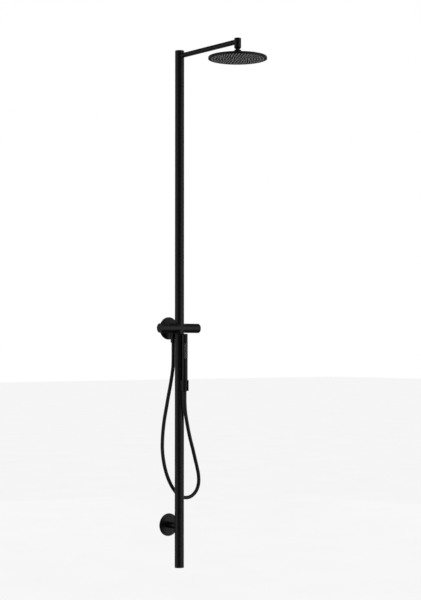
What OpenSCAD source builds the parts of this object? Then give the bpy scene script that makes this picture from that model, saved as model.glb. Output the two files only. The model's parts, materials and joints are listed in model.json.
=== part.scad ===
// Rainfall shower column: a wall-held mixer on a tall riser, with a fixed arm and a tilting rain
// head above, and a wand hand shower on a hose below. Millimetres.
// The origin is the centre of the mixer neck's rear face, on the wall. +Z is up, +Y points into
// the wall, and +X is to the right of someone who faces the wall.

/* [Riser] */
// Outer diameter of the riser tube
riser_d = 36; // [34:0.5:42]
// Wall of the riser tube
riser_wall = 1.5; // [1.2:0.1:2]
// Distance from the wall to the riser's axis
wall_gap = 70; // [68:1:90]
// Height of the riser's top above the mixer's axis
riser_up = 1086; // [900:1:1300]
// Depth of the riser's foot below the mixer's axis
riser_down = 926; // [860:1:1100]
// Depth of the lower wall bracket below the mixer's axis
bracket_down = 767; // [720:1:830]

/* [Mixer] */
// Diameter of the mixer barrel and of its knobs
barrel_d = 36.5; // [35:0.5:42]
// Length of the barrel on the temperature side, from the riser's axis
barrel_left = 56; // [54:1:80]
// Length of the barrel on the flow side, from the riser's axis
barrel_right = 62; // [58:1:80]
// Length of the temperature knob
warm_knob_len = 40; // [36:1:50]
// Length of the flow knob
flow_knob_len = 30; // [28:1:45]
// Diameter of the neck between the wall and the barrel
neck_d = 34; // [33:0.5:36]
// Travel of the safety button
button_travel = 1.2; // [0.8:0.1:1.5]

/* [Wall flanges] */
// Diameter of both wall flanges
flange_d = 88; // [70:1:100]
// Thickness of both wall flanges
flange_t = 5; // [4:0.5:8]
// Diameter of the lower bracket's stub
stub_d = 24.5; // [20:0.5:30]

/* [Arm and rain head] */
// Reach of the arm, from the riser's axis to the head's axis
arm_reach = 350; // [280:1:450]
// Diameter of the arm tube
arm_d = 19; // [18:0.5:20]
// Wall of the arm tube
arm_wall = 1.5; // [1.2:0.1:1.8]
// Depth of the arm's axis below the riser's top
arm_below_top = 21; // [18:1:60]
// Diameter of the upright fitting at the arm's end
fitting_d = 26; // [25:0.5:30]
// Diameter of the rain head
head_d = 220; // [160:1:300]
// Thickness of the rain head at its rim
head_t = 8; // [7:0.5:12]
// Wall of the rain head's shell
head_wall = 1.4; // [1:0.1:1.8]
// Number of nozzle rings
nozzle_rings = 9; // [5:1:11]
// Diameter of a rain nozzle
nozzle_d = 3.4; // [2.6:0.1:4]

/* [Hand shower] */
// Diameter of the wand
wand_d = 22.5; // [22:0.1:25]
// Wall of the wand's tube
wand_wall = 1.6; // [1.4:0.1:1.8]
// Height of the wand above its holder
wand_above = 179; // [150:1:190]
// Depth of the holder's top below the mixer's axis
holder_down = 201; // [200:1:205]
// Height of the holder
holder_h = 42; // [38:1:46]
// Wall of the holder
holder_wall = 3.5; // [3:0.1:4.5]
// Width of the slot in the holder's front
holder_slot = 19; // [17:0.5:20]
// Gap between the riser and the holder's ring
holder_gap = 0.5; // [0.5:0.5:3]
// Lift of the wand out of its holder
wand_lift = 50; // [40:1:60]

/* [Hose] */
// Outer diameter of the hose
hose_d = 14; // [12:0.5:14.5]
// Diameter of the outlet and of the hose's upper nut
nut_d = 21.4; // [20:0.2:24]
// Distance from the wall to the outlet's axis
outlet_gap = 31; // [28:1:33]

/* [Hidden] */
$fn = 64;

// Clearances, named once and used wherever two pieces meet.
fit = 0.1;          // pieces that slide together on assembly
turn = 0.05;        // radial clearance of a piece that turns
seam = 0.6;         // visible gap between a knob and the barrel
face = 0.05;        // pieces that stand face to face
wand_fit = 0.3;     // gap round the wand and its nut in the holder
eps = 1;            // overshoot of a cut

riser_r = riser_d / 2;
bore_r = riser_r - riser_wall;
plug_r = bore_r - fit;
barrel_r = barrel_d / 2;
chamber_l_r = 13;
chamber_r_r = 12;
septum = 9;
spigot_h = 25;
cap_t = 3;
cap_plug_h = 9;

arm_z = riser_up - arm_below_top;
arm_r = arm_d / 2;
arm_bore_r = arm_r - arm_wall;
fitting_r = fitting_d / 2;
fitting_top = arm_z + 12.5;
fitting_seam = arm_z - 12.5;
nut_h = 14.6;
nut_foot = fitting_seam - nut_h;
ball_r = 9.6;
ball_z = nut_foot + 6;
ball_mouth_r = 8.5;
stem_r = 7;
seat_r = fitting_r - 1.6;
collar_top = nut_foot - 4.5;
collar_r = 14;
head_top = arm_z - 57.5;
head_foot = head_top - head_t;
hub_h = 4.5;
hub_r = 21;
face_t = 1.8;
face_r = head_d / 2 - head_wall - fit;
nozzle_h = 1.5;
ring_step = (head_d / 2 - 13) / nozzle_rings;

warm_end = -barrel_left - seam - warm_knob_len;
flow_end = barrel_right + seam + flow_knob_len;
knob_wall = 3.2;
knob_cap_t = 2.5;
stem_shaft_r = 4;
button_r = 3;
button_x = -barrel_left - seam - 5.5;
button_turn = 36;
button_proud = 0.9;

wand_r = wand_d / 2;
wand_y = -wall_gap - riser_r - holder_gap - wand_r - wand_fit - holder_wall;
wand_bore_r = wand_r - wand_wall;
holder_bore_r = wand_r + wand_fit;
holder_r = holder_bore_r + holder_wall;
holder_top = -holder_down;
holder_foot = holder_top - holder_h;
wand_top = holder_top + wand_above;
wand_foot = holder_top - 11;
cone_top_r = wand_r - 0.05;
cone_foot_r = 9;
spray_top = wand_top - 34;
spray_len = 66;
spray_half = 52;

hose_r = hose_d / 2;
nut_r = nut_d / 2;
outlet_foot = -30;
spigot_foot = -42;
upper_nut_foot = -56;
outlet_spigot_r = 8.5;

// The hose's route, from the outlet down behind the riser, round its foot and up to the wand.
hose_route = [
    [0, -31, -56], [0, -31, -85], [0, -31, -115], [-1, -31, -145],
    [-4, -31, -170], [-9, -31, -197], [-15, -31, -226], [-24, -31, -264],
    [-33, -31, -306], [-43, -31, -352], [-50, -31, -398], [-53, -31, -438],
    [-53, -31, -472], [-48, -31, -510], [-38, -31, -550], [-23, -31, -587],
    [-3, -31, -620], [22, -31.5, -647], [52, -33, -662], [83, -36, -660],
    [106, -41, -640], [114, -47, -610], [109, -53, -577], [97, -59, -545],
    [81, -65.5, -508], [64, -73, -470], [46, -80, -431], [30, -87, -392],
    [16, -94, -354], [6.5, -99, -323], [1.5, -102.2, -293], [0, -103.55, -268],
    [0, -103.55, -244]
];
hose_sides = 10;

// ---- helpers ----------------------------------------------------------------------------

// A cylinder along +X that starts at x.
module along_x(r, x, len) translate([x, 0, 0]) rotate([0, 90, 0]) cylinder(r = r, h = len);

// A cylinder along -Y, away from the wall, that starts at y.
module from_wall(r, y, len) translate([0, y, 0]) rotate([90, 0, 0]) cylinder(r = r, h = len);

// A tube standing on z.
module pipe(r_out, r_in, z, len) {
    translate([0, 0, z]) difference() {
        cylinder(r = r_out, h = len);
        translate([0, 0, -eps]) cylinder(r = r_in, h = len + 2 * eps);
    }
}

// A tube along +X.
module pipe_x(r_out, r_in, x, len) translate([x, 0, 0]) rotate([0, 90, 0]) pipe(r_out, r_in, 0, len);

// A disc with an eased upper edge, standing on z = 0.
module eased_disc(r, h, ease) {
    rotate_extrude() union() {
        square([r, h - ease]);
        square([r - ease, h]);
        translate([r - ease, h - ease]) circle(r = ease, $fn = 32);
    }
}

// A toroidal seal.
module o_ring(r_mid, r_cord) rotate_extrude() translate([r_mid, 0]) circle(r = r_cord, $fn = 24);

// Moves its children onto the riser's axis.
module on_riser() translate([0, -wall_gap, 0]) children();

// Moves its children onto the rain head's axis.
module on_head() translate([0, -wall_gap - arm_reach, 0]) children();

// Moves its children onto the wand's axis.
module on_wand() translate([0, wand_y, 0]) children();

// Moves its children onto the hose outlet's axis.
module on_outlet() translate([0, -outlet_gap, 0]) children();

// ---- mixer ------------------------------------------------------------------------------

supply_x = 10;
supply_r = 5.5;
supply_depth = 20;
filter_r = 5;
channel_r = 3.5;
groove_w = 2.2;
seal_r = 1;

module mixer_body() color("#1b1b1c") difference() {
    union() {
        on_riser() {
            along_x(barrel_r, -barrel_left, barrel_left + barrel_right);
            translate([0, 0, -barrel_r - spigot_h]) cylinder(r = plug_r, h = 2 * (barrel_r + spigot_h));
        }
        from_wall(neck_d / 2, 0, wall_gap);
        on_outlet() translate([0, 0, outlet_foot]) cylinder(r = nut_r, h = -outlet_foot);
        on_outlet() translate([0, 0, spigot_foot]) cylinder(r = outlet_spigot_r, h = -spigot_foot);
    }
    on_riser() {
        along_x(chamber_l_r, -barrel_left - eps, barrel_left - septum + eps);
        along_x(chamber_r_r, septum, barrel_right - septum + eps);
        cylinder(r = 6, h = barrel_r + spigot_h + eps);
        along_x(channel_r, 0, septum + eps);
        for (side = [-1, 1]) translate([0, 0, side * (barrel_r + spigot_h - 9)])
            pipe(plug_r + eps, plug_r - 2 * seal_r - 0.1, -groove_w / 2, groove_w);
    }
    for (side = [-1, 1]) translate([side * supply_x, 0, 0]) {
        from_wall(supply_r, eps, supply_depth + eps);
        from_wall(filter_r, -supply_depth + eps, 4 + eps);
        from_wall(channel_r, -supply_depth, wall_gap - supply_depth - 8);
    }
    on_outlet() translate([0, 0, spigot_foot - eps]) cylinder(r = 5, h = -spigot_foot - 8);
    // Holes for the screws that lock the riser, from behind.
    for (side = [-1, 1]) translate([0, 0, side * (barrel_r + 8)])
        from_wall(lock_r, -wall_gap + plug_r + eps, 7 + eps);
}

lock_r = 2;

module riser_lock_screws() color("#2a2a2b")
    for (side = [-1, 1]) translate([0, 0, side * (barrel_r + 8)])
        from_wall(lock_r - turn, -wall_gap + riser_r - 0.4, 7);

module riser_seals() color("#0d0d0d") on_riser()
    for (side = [-1, 1]) translate([0, 0, side * (barrel_r + spigot_h - 9)])
        o_ring(plug_r - seal_r, seal_r);

module supply_filters() color("#9a9a96")
    for (side = [-1, 1]) translate([side * supply_x, 0, 0])
        from_wall(filter_r - fit, -supply_depth - 0.4, 3);

module supply_check_valves() color("#d8d8d0")
    for (side = [-1, 1]) translate([side * supply_x, -26, 0]) rotate([90, 0, 0])
        pipe(channel_r - fit, 1.6, 0, 11);

// The thermostat's mouth, its neck's radius and how deep its stem goes, from the barrel's end.
warm_mouth = -barrel_left + 6;
warm_neck_r = 9;
stem_depth = 12;

module thermostat_cartridge() color("#c9b46a") on_riser() difference() {
    union() {
        along_x(chamber_l_r - fit, warm_mouth + 4, 34);
        along_x(warm_neck_r, warm_mouth, 5);
    }
    along_x(stem_shaft_r + turn, warm_mouth - eps, stem_depth + 5 + eps);
    // Ports and seal grooves round the cartridge.
    for (x = [10, 18, 26]) pipe_x(chamber_l_r + eps, chamber_l_r - 1.2, warm_mouth + x, 2);
    for (a = [0:60:300]) rotate([a, 0, 0]) translate([warm_mouth + 22, 0, 7]) cylinder(r = 1.6, h = 20);
}

module thermostat_ring_nut() color("#b89b55") on_riser()
    pipe_x(chamber_l_r - fit, warm_neck_r + fit, -barrel_left + 0.5, 8);

spline_len = 9;
warm_stem_end = warm_end + knob_cap_t + 0.5;

module thermostat_stem() color("#c9b46a") on_riser() union() {
    along_x(stem_shaft_r, warm_stem_end, warm_mouth + stem_depth - warm_stem_end);
    for (a = [0:30:330]) rotate([a, 0, 0])
        translate([warm_stem_end, -0.4, stem_shaft_r - 0.5]) cube([spline_len, 0.8, 1]);
}

module safety_stop_ring() color("#8d8f92") on_riser() difference() {
    pipe_x(stop_ring_r, 7, -barrel_left - 9, 9.4);
    translate([-barrel_left - 9 - eps, -2, 8]) cube([6, 4, 8]);
}

knob_cavity_r = barrel_r - knob_wall;

// A hollow knob along +X from x, open towards the barrel, with a splined core for the stem.
module knob_shell(x, len, open_left) {
    difference() {
        union() {
            difference() {
                along_x(barrel_r, x, len);
                along_x(knob_cavity_r, open_left ? x - eps : x + knob_cap_t + 9, len - knob_cap_t - 9 + eps);
            }
        }
        along_x(stem_shaft_r + 0.7, x - eps, len + 2 * eps);
        // Seat of the end cap.
        along_x(knob_cavity_r, open_left ? x + len - knob_cap_t : x - eps, knob_cap_t + eps);
    }
}

module button_frame() on_riser() rotate([button_turn, 0, 0]) translate([button_x, 0, 0]) children();

module temperature_knob() color("#1b1b1c") difference() {
    on_riser() knob_shell(warm_end, warm_knob_len, false);
    button_frame() cylinder(r = button_r + turn, h = barrel_r + eps);
    on_riser() translate([warm_end + 8, 0, -barrel_r - eps]) cylinder(r = 1.6 + turn, h = barrel_r);
}

module end_cap(x, toward) on_riser() translate([x, 0, 0]) rotate([0, toward * 90, 0])
    eased_disc(knob_cavity_r - fit, knob_cap_t, 0.4);

module temperature_end_cap() color("#1b1b1c") end_cap(warm_end + knob_cap_t, -1);

module temperature_grub_screw() color("#2a2a2b") on_riser()
    translate([warm_end + 8, 0, -barrel_r + 0.5]) cylinder(r = 1.6, h = barrel_r - 0.5 - stem_shaft_r - 0.8);

stop_ring_r = 12.2;
button_foot = stop_ring_r + 0.75 + button_travel;

module safety_button() color("#2b2b2c") button_frame() union() {
    translate([0, 0, button_foot]) cylinder(r = button_r, h = barrel_r + button_proud - button_foot - 0.5);
    translate([0, 0, barrel_r + button_proud - 0.5]) cylinder(r1 = button_r, r2 = button_r - 0.5, h = 0.5);
}

// Drawn at its pressed height.
module button_spring() color("#b8b8b8") button_frame()
    translate([0, 0, stop_ring_r + 0.25]) o_ring(button_r - 0.7, 0.2);

// The flow valve's mouth and its neck's radius.
flow_mouth = barrel_right - 7;
flow_neck_r = 8.5;

module diverter_cartridge() color("#e2e2dc") on_riser() difference() {
    union() {
        along_x(chamber_r_r - fit, flow_mouth - 43, 38);
        along_x(flow_neck_r, flow_mouth - 5, 5);
    }
    along_x(stem_shaft_r + turn, flow_mouth - stem_depth - 5, stem_depth + 5 + eps);
    for (x = [15, 25, 35]) pipe_x(chamber_r_r + eps, chamber_r_r - 1.2, flow_mouth - x, 2);
    for (a = [0:90:270]) rotate([a, 0, 0]) translate([flow_mouth - 30, 0, 6]) cylinder(r = 2, h = 20);
}

module diverter_ring_nut() color("#b89b55") on_riser()
    pipe_x(chamber_r_r - fit, flow_neck_r + fit, barrel_right - 11, 10);

flow_stem_end = flow_end - knob_cap_t - 0.5;

module diverter_stem() color("#c9b46a") on_riser() union() {
    along_x(stem_shaft_r, flow_mouth - stem_depth - 3, flow_stem_end - (flow_mouth - stem_depth - 3));
    for (a = [0:30:330]) rotate([a, 0, 0])
        translate([flow_stem_end - spline_len, -0.4, stem_shaft_r - 0.5]) cube([spline_len, 0.8, 1]);
}

module flow_knob() color("#1b1b1c") difference() {
    on_riser() knob_shell(barrel_right + seam, flow_knob_len, true);
    on_riser() translate([flow_end - 7, 0, -barrel_r - eps]) cylinder(r = 1.6 + turn, h = barrel_r);
}

module flow_end_cap() color("#1b1b1c") end_cap(flow_end - knob_cap_t, 1);

module flow_grub_screw() color("#2a2a2b") on_riser()
    translate([flow_end - 7, 0, -barrel_r + 0.5]) cylinder(r = 1.6, h = barrel_r - 0.5 - stem_shaft_r - 0.8);

// ---- riser ------------------------------------------------------------------------------

arm_hole_r = 6.5;

// The space the barrel and its neck take out of the ends of the two riser tubes.
module mixer_clearance() {
    on_riser() along_x(barrel_r + face, -50, 100);
    from_wall(neck_d / 2 + face, 0, wall_gap);
}

module riser_upper() color("#1b1b1c") difference() {
    on_riser() pipe(riser_r, bore_r, 0, riser_up - cap_t);
    mixer_clearance();
    translate([0, 0, barrel_r + 8]) from_wall(lock_r, -wall_gap + riser_r + eps, riser_wall + 2 * eps);
    translate([0, 0, arm_z]) from_wall(arm_hole_r, -wall_gap, riser_r + eps);
}

module riser_lower() color("#1b1b1c") difference() {
    on_riser() pipe(riser_r, bore_r, -riser_down + cap_t, riser_down - cap_t);
    mixer_clearance();
    translate([0, 0, -barrel_r - 8]) from_wall(lock_r, -wall_gap + riser_r + eps, riser_wall + 2 * eps);
    translate([0, 0, -bracket_down]) from_wall(clamp_r + fit, -wall_gap + riser_r + eps, riser_r);
    translate([0, 0, holder_screw_z]) from_wall(holder_screw_r + fit, -wall_gap, riser_r + eps);
}

module riser_cap() union() {
    eased_disc(riser_r, cap_t, 1);
    translate([0, 0, -cap_plug_h]) cylinder(r = plug_r, h = cap_plug_h + 0.5);
}

module riser_top_cap() color("#1b1b1c") on_riser() translate([0, 0, riser_up - cap_t]) riser_cap();

module riser_foot_cap() color("#1b1b1c") on_riser() translate([0, 0, -riser_down + cap_t])
    mirror([0, 0, 1]) riser_cap();

// ---- arm --------------------------------------------------------------------------------

block_h = 40;

module arm_block() color("#8a7a45") difference() {
    on_riser() translate([0, 0, arm_z - block_h / 2 - 6]) cylinder(r = plug_r, h = block_h / 2 + 14);
    on_riser() translate([0, 0, arm_z - block_h / 2 - 6 - eps]) cylinder(r = 6, h = block_h / 2 + 6 + eps);
    translate([0, 0, arm_z]) from_wall(arm_hole_r, -wall_gap - 8, riser_r);
    translate([0, 0, arm_z]) from_wall(4.5, -wall_gap, riser_r);
}

module arm_nipple() color("#8a7a45") translate([0, 0, arm_z]) difference() {
    union() {
        from_wall(arm_hole_r - fit, -wall_gap - 8.2, 20);
        from_wall(arm_bore_r - fit, -wall_gap - riser_r - 4, 16);
    }
    from_wall(4.5, -wall_gap, 60);
}

module arm_tube() color("#1b1b1c") difference() {
    translate([0, 0, arm_z]) from_wall(arm_r, -wall_gap - 10, arm_reach - 10);
    translate([0, 0, arm_z]) from_wall(arm_bore_r, -wall_gap, arm_reach);
    on_riser() translate([0, 0, arm_z - 20]) cylinder(r = riser_r + face, h = 40);
    on_head() translate([0, 0, arm_z - 20]) cylinder(r = fitting_r + face, h = 40);
}

module arm_end_fitting() color("#1b1b1c") difference() {
    on_head() union() {
        translate([0, 0, fitting_seam + face]) cylinder(r = fitting_r, h = fitting_top - 1.5 - fitting_seam);
        translate([0, 0, fitting_top - 1.5 + face]) cylinder(r1 = fitting_r, r2 = fitting_r - 0.6, h = 1.5);
    }
    on_head() translate([0, 0, fitting_seam - eps]) cylinder(r = 6, h = fitting_top - fitting_seam - 3);
    on_head() translate([0, 0, fitting_top - 3]) cylinder(r = 9, h = 3 + eps);
    translate([0, 0, arm_z]) from_wall(6, -wall_gap - arm_reach + fitting_r + eps, fitting_r + eps);
}

module arm_end_plug() color("#1b1b1c") on_head() translate([0, 0, fitting_top - 2.9])
    eased_disc(9 - fit, 2.9, 0.4);

module swivel_nut() color("#1b1b1c") on_head() difference() {
    union() {
        translate([0, 0, nut_foot + 4]) cylinder(r = fitting_r, h = nut_h - 4);
        translate([0, 0, nut_foot]) cylinder(r1 = fitting_r - 3, r2 = fitting_r, h = 4.01);
    }
    translate([0, 0, nut_foot - eps]) cylinder(r = ball_mouth_r, h = nut_h + 2 * eps);
    translate([0, 0, ball_z]) sphere(r = ball_r + turn);
    translate([0, 0, ball_z]) cylinder(r = seat_r, h = nut_h);
}

module ball_seat() color("#e8e8e4") on_head() difference() {
    translate([0, 0, ball_z + 0.3]) cylinder(r = seat_r - turn, h = fitting_seam - ball_z - 0.5);
    translate([0, 0, ball_z]) sphere(r = ball_r + turn);
    translate([0, 0, ball_z]) cylinder(r = 5, h = nut_h);
}

module ball_stem() color("#1b1b1c") on_head() difference() {
    union() {
        translate([0, 0, ball_z]) sphere(r = ball_r);
        translate([0, 0, head_top + 1.6]) cylinder(r = stem_r, h = ball_z - head_top - 1.6);
    }
    translate([0, 0, head_top]) cylinder(r = 3.5, h = 80);
    translate([0, 0, ball_z + 7.5]) cylinder(r = 8, h = 8);
}

module head_collar() color("#1b1b1c") on_head() difference() {
    union() {
        translate([0, 0, head_top + hub_h + face]) cylinder(r = collar_r, h = collar_top - head_top - hub_h - 3);
        translate([0, 0, collar_top - 3]) cylinder(r1 = collar_r, r2 = collar_r - 2.5, h = 3);
    }
    translate([0, 0, head_top]) cylinder(r = stem_r + fit, h = 60);
}

// ---- rain head --------------------------------------------------------------------------

module head_shell() color("#1b1b1c") on_head() difference() {
    union() {
        translate([0, 0, head_foot]) eased_disc(head_d / 2, head_t, 1.5);
        translate([0, 0, head_top - 1]) cylinder(r1 = hub_r, r2 = collar_r + 1, h = hub_h + 1);
    }
    translate([0, 0, head_foot - eps]) cylinder(r = head_d / 2 - head_wall, h = head_t - head_wall + eps);
    translate([0, 0, head_foot]) cylinder(r = stem_r + fit, h = 30);
    translate([0, 0, head_foot]) cylinder(r = 16, h = head_t + 1);
}

module head_face() color("#232324") on_head() translate([0, 0, head_foot])
    cylinder(r = face_r, h = face_t);

module head_seal() color("#0d0d0d") on_head()
    pipe(face_r - 1, face_r - 4, head_foot + face_t + face, 1.2);

module nozzle_mat() color("#6f7072") on_head() translate([0, 0, head_foot + face_t + face])
    cylinder(r = nozzle_rings * ring_step + 3, h = 1);

module rain_nozzles() color("#8f9092") on_head() translate([0, 0, head_foot - nozzle_h]) {
    cylinder(r = nozzle_d / 2, h = nozzle_h - face, $fn = 16);
    for (ring = [1:nozzle_rings], i = [0:6 * ring - 1])
        rotate([0, 0, 360 / (6 * ring) * i]) translate([ring * ring_step, 0, 0])
            cylinder(r = nozzle_d / 2, h = nozzle_h - face, $fn = 16);
}

// ---- wall flanges and lower bracket -------------------------------------------------------

module wall_flange(hole_r) translate([0, 0, 0]) rotate([90, 0, 0]) difference() {
    eased_disc(flange_d / 2, flange_t, 1.2);
    translate([0, 0, -eps]) cylinder(r = hole_r, h = flange_t + 2 * eps);
}

hanger_r = 3.4;
hanger_depth = 25;
clamp_r = 2.5;
set_r = 2;

module upper_flange() color("#222223") wall_flange(neck_d / 2 + fit);

module lower_flange() color("#222223") translate([0, 0, -bracket_down]) wall_flange(stub_d / 2 + fit);

module lower_stub() color("#1b1b1c") difference() {
    translate([0, 0, -bracket_down]) from_wall(stub_d / 2, 0, wall_gap - 5);
    on_riser() translate([0, 0, -bracket_down - 25]) cylinder(r = riser_r + face, h = 50);
    translate([0, 0, -bracket_down]) from_wall(hanger_r, eps, hanger_depth + eps);
    translate([0, 0, -bracket_down]) from_wall(clamp_r + fit, -hanger_depth - 5, wall_gap);
    translate([0, -flange_t - 6, -bracket_down - stub_d / 2 - eps]) cylinder(r = set_r + turn, h = stub_d / 2 + eps);
}

module lower_set_screw() color("#2a2a2b") translate([0, -flange_t - 6, -bracket_down - stub_d / 2 + 0.4])
    cylinder(r = set_r, h = stub_d / 2 - 0.4 - hanger_r - 0.3);

module lower_clamp_block() color("#8a7a45") difference() {
    on_riser() translate([0, 0, -bracket_down - 18]) cylinder(r = plug_r, h = 36);
    translate([0, 0, -bracket_down]) from_wall(clamp_r + fit, -wall_gap + riser_r, riser_r);
    translate([0, 0, -bracket_down]) from_wall(5.2, -wall_gap + 8, 2 * riser_r);
}

module lower_clamp_screw() color("#2a2a2b") translate([0, 0, -bracket_down]) union() {
    from_wall(clamp_r, -hanger_depth - 7, wall_gap - hanger_depth - 7 - 7);
    from_wall(4.6, -wall_gap + 7.9, 5);
}

// ---- hose -------------------------------------------------------------------------------

module hose_outlet_insert() color("#8a7a45") on_outlet()
    pipe(5 - fit, 3.2, spigot_foot + 0.3, 18);

module hose_upper_nut() color("#1b1b1c") on_outlet() difference() {
    translate([0, 0, upper_nut_foot]) cylinder(r = nut_r, h = outlet_foot - upper_nut_foot - 0.2);
    translate([0, 0, spigot_foot - 2]) cylinder(r = outlet_spigot_r + fit, h = 30);
    translate([0, 0, upper_nut_foot - eps]) cylinder(r = 4.5, h = 20);
}

module hose_washers() color("#3a3a3a") on_outlet()
    pipe(outlet_spigot_r - 0.2, 4.6, spigot_foot - 1.8, 1.6);

function unit(v) = v / norm(v);
function tangent(p, i) = unit(p[min(i + 1, len(p) - 1)] - p[max(i - 1, 0)]);
function side_axis(t) = unit(cross(t, [0, 1, 0.001]));
function ring_at(p, i, r, n, t) = [
    for (k = [0:n - 1])
        p[i] + r * (cos(360 * k / n) * side_axis(t) + sin(360 * k / n) * cross(t, side_axis(t)))
];

// A round tube swept along the points of path.
module swept_tube(path, r, n) {
    last = len(path) - 1;
    ends_up = [0, 0, -1];
    rings = [for (i = [0:last])
        ring_at(path, i, r, n, i == 0 ? ends_up : i == last ? -ends_up : tangent(path, i))];
    points = [for (ring = rings) for (v = ring) v];
    walls = [for (i = [0:last - 1], k = [0:n - 1])
        [i * n + k, (i + 1) * n + k, (i + 1) * n + (k + 1) % n, i * n + (k + 1) % n]];
    near_end = [for (k = [0:n - 1]) k];
    far_end = [for (k = [n - 1:-1:0]) last * n + k];
    polyhedron(points, concat(walls, [near_end, far_end]));
}

module hose() color("#1f1f20") swept_tube(hose_route, hose_r, hose_sides);

// ---- hand shower ------------------------------------------------------------------------

cone_foot = holder_foot - 0.9;
inlet_r = 8.3;
inlet_foot = wand_foot - 16;

module hose_end_nut() color("#1b1b1c") on_wand() difference() {
    translate([0, 0, cone_foot]) cylinder(r1 = cone_foot_r, r2 = cone_top_r, h = wand_foot - 0.2 - cone_foot);
    translate([0, 0, inlet_foot - 2]) cylinder(r = inlet_r + turn, h = 30);
    translate([0, 0, cone_foot - eps]) cylinder(r = 4.5, h = 30);
}

module wand_body() color("#1b1b1c") on_wand() difference() {
    pipe(wand_r, wand_bore_r, wand_foot, wand_top - 1.5 - wand_foot);
    spray_window(wand_bore_r - eps, wand_r + eps, spray_half, 0);
}

// The sector of the wand's front that the spray insert fills.
module spray_window(r_in, r_out, half, inset) {
    translate([0, 0, spray_top - spray_len + inset]) rotate([0, 0, -90 - half])
        rotate_extrude(angle = 2 * half) translate([r_in, 0]) square([r_out - r_in, spray_len - 2 * inset]);
}

module wand_cap() color("#1b1b1c") on_wand() union() {
    translate([0, 0, wand_top - 1.5]) eased_disc(wand_r, 1.5, 0.7);
    translate([0, 0, wand_top - 8]) cylinder(r = wand_bore_r - fit, h = 6.6);
}

module wand_inlet() color("#8a7a45") on_wand() difference() {
    union() {
        translate([0, 0, inlet_foot]) cylinder(r = inlet_r, h = 17);
        translate([0, 0, wand_foot + 0.2]) cylinder(r = wand_bore_r - fit, h = 12);
    }
    translate([0, 0, inlet_foot - eps]) cylinder(r = 5.5, h = 40);
}

module wand_water_tube() color("#d8d8d0") on_wand()
    pipe(6.5, 5.2, wand_foot + 12.4, spray_top - spray_len - wand_foot - 16);

spray_gap = 0.4;
jet_pitch = 6;
jet_r = 1.15;

module wand_spray_insert() color("#2e2e30") on_wand()
    spray_window(wand_bore_r - 1.4, wand_r - 0.2, spray_half - 1.5, spray_gap);

module wand_nozzles() color("#8f9092") on_wand()
    for (row = [0:9], col = [-2:2])
        translate([0, 0, spray_top - 4.2 - row * jet_pitch - (col % 2 == 0 ? 0 : jet_pitch / 2)])
            rotate([0, 0, col * 19]) from_wall(jet_r, -wand_r + 0.12, 0.9);

pad_w = 16;
holder_screw_r = 2;
holder_screw_z = (holder_top + holder_foot) / 2;

module wand_holder() color("#1b1b1c") difference() {
    union() {
        on_wand() translate([0, 0, holder_foot]) cylinder(r = holder_r, h = holder_h);
        translate([-pad_w / 2, wand_y, holder_foot]) cube([pad_w, -wall_gap - 8 - wand_y, holder_h]);
    }
    on_riser() translate([0, 0, holder_foot - eps]) cylinder(r = riser_r + face, h = holder_h + 2 * eps);
    on_wand() translate([0, 0, holder_top - 12]) cylinder(r = holder_bore_r, h = 12 + eps);
    on_wand() translate([0, 0, holder_foot - eps])
        cylinder(r1 = cone_foot_r + wand_fit, r2 = holder_bore_r, h = holder_h - 12 + eps + 0.01);
    translate([-holder_slot / 2, wand_y - holder_r - eps, holder_foot - eps])
        cube([holder_slot, holder_r + eps, holder_h + 2 * eps]);
    translate([0, 0, holder_screw_z]) from_wall(holder_screw_r + fit, -wall_gap, 40);
    translate([0, 0, holder_screw_z]) from_wall(4, wand_y + holder_bore_r + 1.6, 20);
}

module holder_screw() color("#2a2a2b") translate([0, 0, holder_screw_z]) union() {
    from_wall(holder_screw_r, -wall_gap - 12, riser_r + holder_gap - 12 + holder_wall - 1.2);
    from_wall(3.6, wand_y + holder_bore_r + 1.5, 1.3);
}

module holder_washer() color("#b8b8b8") translate([0, 0, holder_screw_z])
    translate([0, -wall_gap - bore_r + 1.9, 0]) rotate([90, 0, 0]) pipe(4.5, holder_screw_r + fit, 0, 1);

mixer_body();
riser_upper();
riser_lower();
riser_top_cap();
riser_foot_cap();
riser_seals();
riser_lock_screws();
arm_block();
arm_nipple();
arm_tube();
arm_end_fitting();
arm_end_plug();
swivel_nut();
ball_seat();
ball_stem();
head_collar();
head_shell();
head_face();
head_seal();
nozzle_mat();
rain_nozzles();
upper_flange();
lower_flange();
lower_stub();
lower_clamp_block();
lower_clamp_screw();
lower_set_screw();
supply_filters();
supply_check_valves();
thermostat_cartridge();
thermostat_ring_nut();
thermostat_stem();
safety_stop_ring();
temperature_knob();
temperature_end_cap();
temperature_grub_screw();
safety_button();
button_spring();
diverter_cartridge();
diverter_ring_nut();
diverter_stem();
flow_knob();
flow_end_cap();
flow_grub_screw();
hose_outlet_insert();
hose_upper_nut();
hose_washers();
hose();
hose_end_nut();
wand_body();
wand_cap();
wand_inlet();
wand_water_tube();
wand_spray_insert();
wand_nozzles();
wand_holder();
holder_screw();
holder_washer();
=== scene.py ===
# %% [markdown]
# # A rainfall shower column
# A black mixer bar crosses a tall round riser. An arm carries a flat rain head above, and a slim
# wand stands in a holder below, on a hose that hangs in one loop. The mechanism is already made and
# packed: this lesson loads it, then gives each surface the shape and finish that light will show.

# %% Load the frame
import json
import math

import bmesh
import bpy
from mathutils import Matrix, Vector


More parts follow.
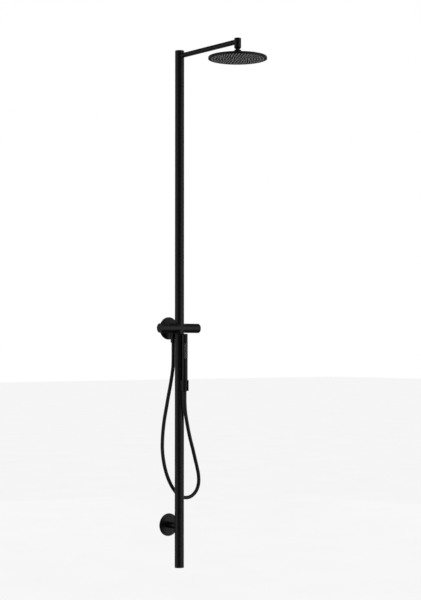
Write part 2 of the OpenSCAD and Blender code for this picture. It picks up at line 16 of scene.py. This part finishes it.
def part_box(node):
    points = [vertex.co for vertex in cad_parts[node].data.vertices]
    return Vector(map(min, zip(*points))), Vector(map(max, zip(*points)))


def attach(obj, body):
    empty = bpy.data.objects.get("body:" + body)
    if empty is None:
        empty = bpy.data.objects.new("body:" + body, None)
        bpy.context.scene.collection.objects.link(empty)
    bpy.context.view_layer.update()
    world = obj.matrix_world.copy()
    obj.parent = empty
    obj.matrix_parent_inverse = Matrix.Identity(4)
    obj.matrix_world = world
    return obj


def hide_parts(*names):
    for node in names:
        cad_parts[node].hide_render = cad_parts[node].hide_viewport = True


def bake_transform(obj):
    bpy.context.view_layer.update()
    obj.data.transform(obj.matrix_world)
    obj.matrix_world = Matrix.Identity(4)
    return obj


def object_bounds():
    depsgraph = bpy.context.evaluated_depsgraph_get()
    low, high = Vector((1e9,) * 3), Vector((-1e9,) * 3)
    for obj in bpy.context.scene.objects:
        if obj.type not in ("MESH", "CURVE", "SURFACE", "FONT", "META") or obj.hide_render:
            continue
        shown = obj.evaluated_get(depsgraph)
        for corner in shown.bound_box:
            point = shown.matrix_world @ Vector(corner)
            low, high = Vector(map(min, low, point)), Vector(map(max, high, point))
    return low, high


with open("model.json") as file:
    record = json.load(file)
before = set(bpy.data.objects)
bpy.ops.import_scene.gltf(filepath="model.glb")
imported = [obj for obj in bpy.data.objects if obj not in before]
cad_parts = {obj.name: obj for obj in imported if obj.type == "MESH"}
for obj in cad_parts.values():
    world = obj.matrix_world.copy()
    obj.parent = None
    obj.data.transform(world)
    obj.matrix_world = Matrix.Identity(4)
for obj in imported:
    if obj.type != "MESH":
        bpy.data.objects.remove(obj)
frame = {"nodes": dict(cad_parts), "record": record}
cad_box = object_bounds()
nodes = frame["nodes"]

MM = 0.001

# %% [markdown]
# ## The camera
# A long lens flattens a tall, thin object, so its riser stays straight and parallel to the
# picture's edge. The camera stands to the left of the column, a little below mid-height, and is
# tilted up slightly.

# %% Camera
CAMERA_PLACE = (-3.4677, -4.4843, -0.0767)
CAMERA_TILT = 1.904
CAMERA_TURN = -39.385
LENS_MM = 86.54
SENSOR_MM = 36.0
CLIP_END = 60.0

lens = bpy.data.cameras.new("camera")
lens.lens = LENS_MM
lens.sensor_width = SENSOR_MM
lens.clip_end = CLIP_END
lens.dof.use_dof = False
camera = bpy.data.objects.new("camera", lens)
camera.location = CAMERA_PLACE
camera.rotation_euler = (math.radians(90 + CAMERA_TILT), 0.0, math.radians(CAMERA_TURN))
bpy.context.scene.collection.objects.link(camera)
bpy.context.scene.camera = camera
print("camera, m:", CAMERA_PLACE, "lens, mm:", LENS_MM)

# %% [markdown]
# ## The hose
# A shower hose is a fixed length of smooth, rather stiff tube. It leaves the outlet behind the
# riser, hangs, turns in one wide loop behind the riser's lower half and climbs to the wand. The
# route below is a list of points on that line. A spline carries them to a finer path, and one ring
# of vertices is extruded from point to point, which keeps the tube round and closes it in a single
# skin.

# %% Hose route
HOSE_D = 0.014
HOSE_ROUTE_MM = [
    (0, -31, -56), (0, -31, -85), (0, -31, -115), (-1, -31, -145),
    (-4, -31, -170), (-9, -31, -197), (-15, -31, -226), (-24, -31, -264),
    (-33, -31, -306), (-43, -31, -352), (-50, -31, -398), (-53, -31, -438),
    (-53, -31, -472), (-48, -31, -510), (-38, -31, -550), (-23, -31, -587),
    (-3, -31, -620), (22, -31.5, -647), (52, -33, -662), (83, -36, -660),
    (106, -41, -640), (114, -47, -610), (109, -53, -577), (97, -59, -545),
    (81, -65.5, -508), (64, -73, -470), (46, -80, -431), (30, -87, -392),
    (16, -94, -354), (6.5, -99, -323), (1.5, -102.2, -293), (0, -103.55, -268),
    (0, -103.55, -244),
]
SPAN_STEPS = 6
route = [Vector(p) * MM for p in HOSE_ROUTE_MM]


def smooth_path(points, per_span):
    """A Catmull-Rom line through points, with per_span steps between each two."""
    path = []
    for i in range(len(points) - 1):
        a = points[max(i - 1, 0)]
        b, c = points[i], points[i + 1]
        d = points[min(i + 2, len(points) - 1)]
        for k in range(per_span):
            t = k / per_span
            slope = (c - a) * t
            bow = (2 * a - 5 * b + 4 * c - d) * t * t
            twist = (3 * b - a - 3 * c + d) * t ** 3
            path.append(0.5 * (2 * b + slope + bow + twist))
    path.append(points[-1].copy())
    return path


hose_path = smooth_path(route, SPAN_STEPS)
hose_length = sum((q - p).length for p, q in zip(hose_path, hose_path[1:]))
print("hose length, m:", round(hose_length, 3))

# %% Hose skin
HOSE_SIDES = 28


def new_object(name, bm):
    """Puts a bmesh into a new object at the origin, and shades it smooth."""
    mesh = bpy.data.meshes.new(name)
    bm.to_mesh(mesh)
    bm.free()
    for face in mesh.polygons:
        face.use_smooth = True
    piece = bpy.data.objects.new(name, mesh)
    bpy.context.scene.collection.objects.link(piece)
    return piece


def swept_tube(name, path, radius, sides):
    """A closed round tube along path: one circle, extruded from point to point."""
    bm = bmesh.new()
    forward = (path[1] - path[0]).normalized()
    turn = forward.to_track_quat("Z", "X")
    ring = bmesh.ops.create_circle(bm, cap_ends=True, radius=radius, segments=sides)["verts"]
    move = Matrix.Translation(path[0]) @ turn.to_matrix().to_4x4()
    bmesh.ops.transform(bm, matrix=move, verts=ring)
    edges = list(bm.edges)
    for i in range(1, len(path)):
        ahead = path[min(i + 1, len(path) - 1)] - path[i - 1]
        step = forward.rotation_difference(ahead.normalized())
        forward = ahead.normalized()
        grown = bmesh.ops.extrude_edge_only(bm, edges=edges)["geom"]
        ring = [g for g in grown if isinstance(g, bmesh.types.BMVert)]
        edges = [g for g in grown if isinstance(g, bmesh.types.BMEdge)]
        centre = sum((v.co for v in ring), Vector()) / len(ring)
        spun = step.to_matrix().to_4x4() @ Matrix.Translation(-centre)
        move = Matrix.Translation(path[i]) @ spun
        bmesh.ops.transform(bm, matrix=move, verts=ring)
    bmesh.ops.contextual_create(bm, geom=edges)
    bmesh.ops.recalc_face_normals(bm, faces=bm.faces)
    return new_object(name, bm)


hose = swept_tube("hose_skin", hose_path, HOSE_D / 2, HOSE_SIDES)
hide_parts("hose")
print("hose skin faces:", len(hose.data.polygons))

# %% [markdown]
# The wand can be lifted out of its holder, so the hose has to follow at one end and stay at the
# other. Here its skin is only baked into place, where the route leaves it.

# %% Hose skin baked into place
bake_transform(hose)

# %% [markdown]
# ## Shader maths as Python
# A finish varies a little from place to place. Each variation is a sum of masks, and sums are
# easier to read as expressions than as boxes and wires. `Val` wraps a socket, so that
# `0.3 + 0.07 * mask` adds the Math nodes it needs. `Finish` makes the nodes and keeps them in one
# place.

# %% Val and Finish
class Val:
    """A socket that takes part in sums: each + or * adds a Math node."""

    def __init__(self, finish, socket):
        self.finish = finish
        self.socket = socket

    def math(self, operation, other):
        return self.finish.node("ShaderNodeMath", {"operation": operation}, {0: self, 1: other})

    def __add__(self, other):
        return self.math("ADD", other)

    def __mul__(self, other):
        return self.math("MULTIPLY", other)

    __radd__ = __add__
    __rmul__ = __mul__


class Finish:
    """One material: node() adds any node, and shade() sets or links the shader's inputs."""

    def __init__(self, name):
        self.material = bpy.data.materials.new(name)
        self.material.use_nodes = True
        self.tree = self.material.node_tree
        self.shader = self.tree.nodes["Principled BSDF"]
        self.place = self.node("ShaderNodeTexCoord", {}, {}, "Object")

    def node(self, kind, settings, inputs, output=0):
        made = self.tree.nodes.new(kind)
        for key, value in settings.items():
            setattr(made, key, value)
        for key, value in inputs.items():
            if isinstance(value, Val):
                self.tree.links.new(value.socket, made.inputs[key])
            else:
                made.inputs[key].default_value = value
        return Val(self, made.outputs[output])

    def noise(self, scale, detail=3.0, rough=0.5, stretch=(1.0, 1.0, 1.0)):
        spot = self.place
        if stretch != (1.0, 1.0, 1.0):
            spot = self.node("ShaderNodeMapping", {}, {"Vector": self.place, "Scale": stretch})
        inputs = {"Vector": spot, "Scale": scale, "Detail": detail, "Roughness": rough}
        return self.node("ShaderNodeTexNoise", {}, inputs)

    def blend(self, amount, low, high):
        """A colour between low and high. A Mix node's colours are its sockets 6, 7 and, out, 2."""
        return self.node("ShaderNodeMix", {"data_type": "RGBA"}, {0: amount, 6: low, 7: high}, 2)

    def bump(self, height, strength, distance):
        inputs = {"Height": height, "Strength": strength, "Distance": distance}
        return self.node("ShaderNodeBump", {}, inputs)

    def shade(self, **values):
        for key, value in values.items():
            socket = self.shader.inputs[key.replace("_", " ")]
            if isinstance(value, Val):
                self.tree.links.new(value.socket, socket)
            else:
                socket.default_value = value
        return self.material


def grey(level, warm=0.0):
    """A neutral colour, a touch warmer or cooler."""
    return (level * (1 + warm), level, level * (1 - warm), 1.0)


# %% [markdown]
# ## The satin black coat
# The column is brass and steel under a baked black coat. Close to, such a coat isn't one even tone:
# it has a very fine orange-peel skin, a broad cloudiness where it was sprayed thicker, and faint
# wipe marks that change the gloss but not the colour. The bump carries the skin, the cloud goes to
# both colour and roughness, and the wipes go to roughness alone.

# %% Satin black
def satin_black(name, tone, gloss, wipe):
    finish = Finish(name)
    cloud = finish.noise(scale=9.0, detail=4.0, rough=0.55)
    wipes = finish.noise(scale=70.0, detail=3.0, rough=0.6, stretch=wipe)
    skin = finish.noise(scale=1500.0, detail=2.0, rough=0.45)
    specks = finish.noise(scale=4200.0, detail=1.0, rough=0.4)
    colour = finish.blend(cloud, grey(tone * 0.85, -0.02), grey(tone * 1.2, -0.01))
    rough = gloss - 0.05 + 0.07 * cloud + 0.05 * wipes + 0.02 * specks
    return finish.shade(
        Base_Color=colour,
        Roughness=rough,
        Specular_IOR_Level=0.5,
        Coat_Weight=0.12,
        Coat_Roughness=0.22,
        Normal=finish.bump(skin * 0.8 + specks * 0.2, strength=0.18, distance=0.12 * MM),
    )


COAT = 0.0065
PLATE_COAT = 0.0085
ALONG_X = (0.08, 1.0, 1.0)
ALONG_Y = (1.0, 0.08, 1.0)
ALONG_Z = (1.0, 1.0, 0.08)
ANY_WAY = (1.0, 1.0, 1.0)

satin = satin_black("satin_black", COAT, gloss=0.33, wipe=ALONG_Z)
satin_bar = satin_black("satin_black_bar", COAT, gloss=0.31, wipe=ALONG_X)
satin_arm = satin_black("satin_black_arm", COAT, gloss=0.33, wipe=ALONG_Y)
satin_plate = satin_black("satin_black_plate", PLATE_COAT, gloss=0.40, wipe=ANY_WAY)
print("coats:", satin.name, satin_bar.name, satin_arm.name, satin_plate.name)

# %% [markdown]
# ## Hose, rubber and plastic
# The hose's skin is drawn plastic, a little lighter than the coat and without its clear layer. The
# nozzles are soft pale silicone with a faint uneven film, as lime leaves, and the wand's are a
# shade darker. The button, the spray insert and some of the works inside are moulded plastic with a
# fine even grain. The button's tone is lifted well above the coat's, a painted highlight for the
# light that catches its top.

# %% Soft finishes
def drawn_plastic(name, tone, gloss):
    finish = Finish(name)
    cloud = finish.noise(scale=25.0)
    fine = finish.noise(scale=900.0, detail=2.0)
    return finish.shade(
        Base_Color=finish.blend(cloud, grey(tone * 0.85), grey(tone * 1.25)),
        Roughness=gloss - 0.04 + 0.08 * cloud + 0.03 * fine,
        Specular_IOR_Level=0.5,
        Normal=finish.bump(fine, strength=0.10, distance=0.10 * MM),
    )


def silicone(name, tone):
    finish = Finish(name)
    dust = finish.noise(scale=260.0, rough=0.6)
    patch = finish.noise(scale=14.0)
    film = dust * 0.5 + patch * 0.5
    return finish.shade(
        Base_Color=finish.blend(film, grey(tone * 0.75, 0.01), grey(tone * 1.2, 0.01)),
        Roughness=0.55 + 0.15 * dust,
        Normal=finish.bump(dust, strength=0.2, distance=0.10 * MM),
    )


def moulded(name, tone, gloss, warm=0.0):
    finish = Finish(name)
    grain = finish.noise(scale=1300.0, rough=0.6)
    patch = finish.noise(scale=30.0, detail=2.0)
    return finish.shade(
        Base_Color=finish.blend(patch, grey(tone * 0.9, warm), grey(tone * 1.12, warm)),
        Roughness=gloss - 0.05 + 0.1 * grain,
        Normal=finish.bump(grain, strength=0.25, distance=0.12 * MM),
    )


hose_finish = drawn_plastic("hose_plastic", tone=0.019, gloss=0.36)
nozzle_finish = silicone("nozzle_silicone", tone=0.78)
jet_finish = silicone("jet_silicone", tone=0.50)
mat_finish = silicone("nozzle_mat", tone=0.16)
seal_finish = silicone("seal_rubber", tone=0.012)
face_finish = moulded("face_plastic", tone=0.012, gloss=0.45)
# The button's tone is lifted well above the coat's: a painted highlight for the light that catches
# its top.
button_highlight_finish = moulded("button_plastic", tone=0.06, gloss=0.30)
inner_finish = moulded("inner_plastic", tone=0.55, gloss=0.45, warm=0.02)
print("soft finishes, last:", inner_finish.name)

# %% [markdown]
# ## Bare metal
# The works inside are turned brass and stainless steel. A lathe leaves fine rings round the axis,
# which show as a stretched noise in the roughness and the bump.

# %% Turned metal
def turned_metal(name, colour, gloss, stretch):
    finish = Finish(name)
    rings = finish.noise(scale=240.0, stretch=stretch)
    stain = finish.noise(scale=40.0, detail=4.0, rough=0.6)
    darker = tuple(c * 0.72 for c in colour[:3]) + (1.0,)
    return finish.shade(
        Base_Color=finish.blend(stain, darker, colour),
        Metallic=1.0,
        Roughness=gloss + 0.12 * rings + 0.08 * stain,
        Normal=finish.bump(rings, strength=0.15, distance=0.08 * MM),
    )


BRASS = (0.62, 0.44, 0.18, 1.0)
STEEL = (0.46, 0.46, 0.47, 1.0)
RINGS_ROUND_X = (4.0, 0.3, 0.3)
RINGS_ROUND_Y = (0.3, 4.0, 0.3)

brass_finish = turned_metal("turned_brass", BRASS, gloss=0.22, stretch=RINGS_ROUND_X)
steel_finish = turned_metal("plain_steel", STEEL, gloss=0.24, stretch=RINGS_ROUND_Y)
print("metals:", brass_finish.name, steel_finish.name)

# %% [markdown]
# ## Dressing the parts
# Every part of the mechanism names a slot, which says what it is made of, so one table dresses most
# of them. A second table is for the few whose wipe marks run another way or whose tone differs.

# %% Finishes go onto the CAD nodes
BY_SLOT = {
    "matte_black": satin,
    "face_plastic": face_finish,
    "button_plastic": button_highlight_finish,
    "black_hose": hose_finish,
    "nozzle_silicone": nozzle_finish,
    "seal_rubber": seal_finish,
    "raw_brass": brass_finish,
    "plain_steel": steel_finish,
    "inner_plastic": inner_finish,
}
BY_NODE = {
    "mixer_body": satin_bar,
    "temperature_knob": satin_bar,
    "flow_knob": satin_bar,
    "arm_tube": satin_arm,
    "head_shell": satin_plate,
    "head_face": satin_plate,
    "nozzle_mat": mat_finish,
}
for part in frame["record"]["subparts"]:
    finish = BY_NODE.get(part["node"], BY_SLOT[part["material_slot"]])
    mesh = nodes[part["node"]].data
    mesh.materials.clear()
    mesh.materials.append(finish)
hose.data.materials.append(hose_finish)
print("finishes set:", len(bpy.data.materials))

# %% [markdown]
# ## Softened edges
# A drawing has knife edges, and a cast or turned part never does. Each edge is broken by a few
# tenths of a millimetre, and that narrow round is what catches the light and draws the part's
# outline. A copy of the CAD mesh is merged into one skin, its flat triangles are dissolved into
# whole faces, and the sharp edges are bevelled. Weighted normals then keep the flats flat under
# smooth shading.

# %% Softened copies
SHARP = math.radians(32)
NEARLY_FLAT = math.radians(0.4)
WELD = 0.002 * MM
ROUND_STEPS = 3


def softened(node, body, finish, width_mm):
    """A copy of a CAD node, in one skin, with its sharp edges rounded over width_mm."""
    bm = bmesh.new()
    bm.from_mesh(nodes[node].data)
    bmesh.ops.remove_doubles(bm, verts=bm.verts, dist=WELD)
    bmesh.ops.dissolve_limit(bm, angle_limit=NEARLY_FLAT, verts=bm.verts, edges=bm.edges)
    sharp = [e for e in bm.edges if len(e.link_faces) == 2 and e.calc_face_angle(0.0) > SHARP]
    bmesh.ops.bevel(bm, geom=sharp, offset=width_mm * MM, segments=ROUND_STEPS, affect="EDGES",
                    profile=0.5, material=-1, clamp_overlap=True)
    bmesh.ops.triangulate(bm, faces=[f for f in bm.faces if len(f.verts) > 4])
    piece = new_object(node + "_soft", bm)
    even = piece.modifiers.new("weighted", "WEIGHTED_NORMAL")
    even.keep_sharp = True
    piece.data.materials.append(finish)
    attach(piece, body)
    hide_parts(node)
    return piece


SOFT_EDGES = [
    ("temperature_knob", "temperature_knob", satin_bar, 0.5),
    ("temperature_end_cap", "temperature_knob", satin_bar, 0.25),
    ("flow_knob", "flow_knob", satin_bar, 0.5),
    ("flow_end_cap", "flow_knob", satin_bar, 0.25),
    ("wand_holder", "column", satin, 0.45),
    ("arm_end_fitting", "column", satin, 0.35),
    ("swivel_nut", "column", satin, 0.35),
    ("head_collar", "rain_head", satin, 0.4),
    ("head_shell", "rain_head", satin_plate, 0.3),
    ("hose_upper_nut", "column", satin, 0.6),
    ("hose_end_nut", "wand", satin, 0.4),
    ("wand_cap", "wand", satin, 0.3),
    ("riser_top_cap", "column", satin, 0.3),
    ("riser_foot_cap", "column", satin, 0.3),
]
for node, body, finish, width in SOFT_EDGES:
    softened(node, body, finish, width)

# %% [markdown]

# %% [markdown]
# ## The fillet where riser meets bar
# The riser grows out of the mixer bar through a small hollow fillet, above and below. Two tubes of
# nearly one size that cross meet on a curve that rises at the sides and falls at the front, and the
# fillet fades out where they run tangent. Circles are bent onto that curve, a few steps from riser
# to bar, and bridged. The last circle lies under both skins, and closes the fillet out of sight.

# %% Saddle fillets
BAR_R = 18.25
RISER_R = 18.0
RISER_Y = -70.0
FILLET = 6.5
FILLET_STEPS = 7
SADDLE_SIDES = 96
SUNK = 0.6


def saddle(name, side):
    """A fillet round the riser: side is 1 above the bar and -1 below it."""
    bm = bmesh.new()
    loops = []
    steps = []
    for k in range(FILLET_STEPS + 1):
        a = math.radians(90 * k / FILLET_STEPS)
        steps.append((FILLET * (1 - math.sin(a)), FILLET * (1 - math.cos(a)), 0.0))
    steps.append((-SUNK, -SUNK, SUNK))
    for up, out, sink in steps:
        made = bmesh.ops.create_circle(bm, cap_ends=False, radius=1.0, segments=SADDLE_SIDES)
        ring = made["verts"]
        for v in ring:
            across, depth = v.co.x, v.co.y
            y = (RISER_R - sink) * depth
            corner = math.sqrt(max(BAR_R ** 2 - y ** 2, 0.0))
            x = (RISER_R - sink) * across + out * across
            z = corner - sink + up * abs(across)
            v.co = Vector((x, y + RISER_Y, side * z)) * MM
        loops.append([e for e in bm.edges if e.verts[0] in ring and e.verts[1] in ring])
    for first, second in zip(loops, loops[1:] + loops[:1]):
        bmesh.ops.bridge_loops(bm, edges=first + second)
    bmesh.ops.recalc_face_normals(bm, faces=bm.faces)
    piece = new_object(name, bm)
    piece.data.materials.append(satin)
    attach(piece, "column")
    return piece


for name, side in (("saddle_above", 1), ("saddle_below", -1)):
    print(name, "faces:", len(saddle(name, side).data.polygons))

# %% [markdown]
# ## Spray nozzles
# Each nozzle is a short silicone teat with a rounded shoulder and a sunken mouth, so that lime can
# be rubbed off. One half section is spun round its axis, and copies are set out in rings on the
# rain head and in staggered rows on the wand. A teat has few faces, because there are hundreds.

# %% Nozzle teats
TEAT_SECTION = [(1.0, 0.0), (0.94, 0.62), (0.70, 1.0), (0.42, 1.0), (0.34, 0.45), (0.0, 0.45)]
TEAT_SIDES = 12
TEAT_WELD = 0.005 * MM


def teat(name, radius, height):
    """One teat as a mesh: its base is at the origin, and it grows along +Z."""
    bm = bmesh.new()
    verts = [bm.verts.new((radius * r, 0.0, height * h)) for r, h in TEAT_SECTION]
    edges = [bm.edges.new(pair) for pair in zip(verts, verts[1:])]
    bmesh.ops.spin(bm, geom=verts + edges, cent=(0, 0, 0), axis=(0, 0, 1), dvec=(0, 0, 0),
                   angle=2 * math.pi, steps=TEAT_SIDES, use_merge=True, use_duplicate=False)
    bmesh.ops.remove_doubles(bm, verts=bm.verts, dist=TEAT_WELD)
    rim = [e for e in bm.edges if e.is_boundary]
    bmesh.ops.contextual_create(bm, geom=rim)
    bmesh.ops.recalc_face_normals(bm, faces=bm.faces)
    mesh = bpy.data.meshes.new(name)
    bm.to_mesh(mesh)
    bm.free()
    return mesh


def teats(name, spots, radius, height, finish, body, node):
    """A teat at each spot, which is a place and a turn from +Z, all in one piece."""
    one = teat(name + "_one", radius, height)
    bm = bmesh.new()
    for place, turn in spots:
        before = len(bm.verts)
        bm.from_mesh(one)
        bm.verts.ensure_lookup_table()
        move = Matrix.Translation(place) @ turn.to_matrix().to_4x4()
        bmesh.ops.transform(bm, matrix=move, verts=bm.verts[before:])
    bpy.data.meshes.remove(one)
    piece = new_object(name, bm)
    piece.data.materials.append(finish)
    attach(piece, body)
    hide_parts(node)
    return piece


# %% Rain head nozzles
HEAD_R = 110.0
RIM = 13.0
RINGS = 9
RING_STEP = (HEAD_R - RIM) / RINGS * MM
FIRST_RING = 6
DOWN = Vector((0, 0, -1)).to_track_quat("Z", "Y")

face_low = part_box("head_face")[0]
shell_low, shell_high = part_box("head_shell")
head_x = (shell_low[0] + shell_high[0]) / 2
head_y = (shell_low[1] + shell_high[1]) / 2
centre = Vector((head_x, head_y, face_low[2]))
spots = [(centre, DOWN)]
for ring in range(1, RINGS + 1):
    count = FIRST_RING * ring
    for i in range(count):
        a = math.radians(360.0 / count * i)
        away = Vector((math.cos(a), math.sin(a), 0.0)) * ring * RING_STEP
        spots.append((centre + away, DOWN))
rain = teats("rain_nozzle_teats", spots, 1.8 * MM, 1.5 * MM, nozzle_finish,
             "rain_head", "rain_nozzles")
print("rain nozzles:", len(spots), "faces:", len(rain.data.polygons))

# %% [markdown]
# The wand's nozzles stand in five columns round its front. Every other column is half a step lower.

# %% Wand nozzles
WAND_R = 11.25
CAP = 1.5
SPRAY_DOWN = 34.0
JET_ROWS = 10
JET_PITCH = 6.0
JET_FAN = 19.0
FIRST_JET = 4.2
JET_SUNK = 0.25

wand_low, wand_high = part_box("wand_body")
wand_y = (wand_low[1] + wand_high[1]) / 2
spray_top = wand_high[2] + (CAP - SPRAY_DOWN) * MM
spots = []
for row in range(JET_ROWS):
    for col in range(-2, 3):
        a = math.radians(JET_FAN * col)
        out = Vector((math.sin(a), -math.cos(a), 0.0))
        lower = JET_PITCH / 2 if col % 2 else 0.0
        z = spray_top - (FIRST_JET + JET_PITCH * row + lower) * MM
        place = Vector((0.0, wand_y, z)) + out * (WAND_R - JET_SUNK) * MM
        spots.append((place, out.to_track_quat("Z", "Y")))
jets = teats("wand_nozzle_teats", spots, 1.3 * MM, 1.0 * MM, jet_finish, "wand", "wand_nozzles")
print("wand nozzles:", len(spots), "faces:", len(jets.data.polygons))

# %% [markdown]
# ## Floor and light
# A pale floor and broad, soft lamps stand in for a studio. Black satin shows only what it reflects,
# so the lamps are tall panels: each one draws a long, soft stripe down the riser. The low lamp is
# there for the pale nozzles under the rain head, and it is kept out of reflections, because it
# would draw a second stripe on the riser's lower half. The world and the floor look white to the
# camera but give the object little light, or the black would turn grey: the world is dim for every
# ray but the camera's, and the floor glows by itself and hides from the object.

# %% Lamps
LEFT_POWER = 21.0
RIGHT_POWER = 24.0
BACK_POWER = 18.0
TOP_POWER = 10.0
LOW_POWER = 34.0
COLUMN_X = 0.0
COLUMN_Y = -0.07


def lamp(name, place, aim, size, power):
    """A rectangular lamp at place, which faces aim."""
    data = bpy.data.lights.new(name, "AREA")
    data.shape = "RECTANGLE"
    data.size, data.size_y = size
    data.energy = power
    piece = bpy.data.objects.new(name, data)
    piece.location = place
    piece.rotation_euler = (Vector(aim) - Vector(place)).to_track_quat("-Z", "Y").to_euler()
    bpy.context.scene.collection.objects.link(piece)
    return piece


def panel(name, bearing, distance, height, size, power):
    """A lamp that faces the column, at a bearing in degrees from the front, positive rightwards."""
    turn = math.radians(bearing)
    place = (distance * math.sin(turn), -distance * math.cos(turn), height)
    lamp(name, place, (COLUMN_X, COLUMN_Y, height), size, power)


panel("left_panel", -112.0, 3.2, 0.1, (4.0, 4.4), LEFT_POWER)
panel("right_panel", 28.0, 3.2, 0.1, (3.8, 4.4), RIGHT_POWER)
panel("back_left_panel", 168.0, 3.4, 0.4, (2.6, 4.4), BACK_POWER)
panel("back_right_panel", 105.0, 3.4, 0.4, (2.4, 4.4), BACK_POWER)
lamp("top_panel", (0.4, -1.2, 3.4), (0.0, -0.2, 0.6), (3.0, 3.0), TOP_POWER)
low_panel = lamp("low_panel", (-0.8, -2.6, -0.95), (0.0, -0.42, 1.0), (1.6, 1.6), LOW_POWER)
low_panel.visible_glossy = False
print("lamps:", len(bpy.data.lights))

# %% World
SKY_FILL = 0.045
SKY_SEEN = 1.0

world = bpy.data.worlds.new("studio")
world.use_nodes = True
tree = world.node_tree
sky = tree.nodes["Background"]
sky.inputs["Color"].default_value = (1.0, 1.0, 1.0, 1.0)
seen = tree.nodes.new("ShaderNodeLightPath").outputs["Is Camera Ray"]
level = tree.nodes.new("ShaderNodeMapRange")
level.inputs["To Min"].default_value = SKY_FILL
level.inputs["To Max"].default_value = SKY_SEEN
tree.links.new(seen, level.inputs["Value"])
tree.links.new(level.outputs["Result"], sky.inputs["Strength"])
bpy.context.scene.world = world
bpy.context.scene.view_settings.view_transform = "Standard"
print("sky, lit and seen:", SKY_FILL, SKY_SEEN)

# %% Floor
FLOOR_HALF = 30.0
FLOOR_TILES = 8
FLOOR_DROP = 0.10
FLOOR_SEEN = 0.93

floor_bm = bmesh.new()
bmesh.ops.create_grid(floor_bm, x_segments=FLOOR_TILES, y_segments=FLOOR_TILES, size=FLOOR_HALF)
down = (0.0, 0.0, cad_box[0][2] - FLOOR_DROP)
bmesh.ops.translate(floor_bm, verts=floor_bm.verts, vec=down)
floor = new_object("floor", floor_bm)
floor_finish = Finish("floor_paper")
paper = floor_finish.noise(scale=3.0)
floor.data.materials.append(floor_finish.shade(
    Base_Color=floor_finish.blend(paper, grey(0.02), grey(0.03)),
    Roughness=0.9,
    Specular_IOR_Level=0.1,
    Emission_Color=floor_finish.blend(paper, grey(0.96), grey(1.0)),
    Emission_Strength=FLOOR_SEEN,
))
floor.visible_diffuse = False
floor.visible_glossy = False
print("floor height, m:", round(down[2], 3))
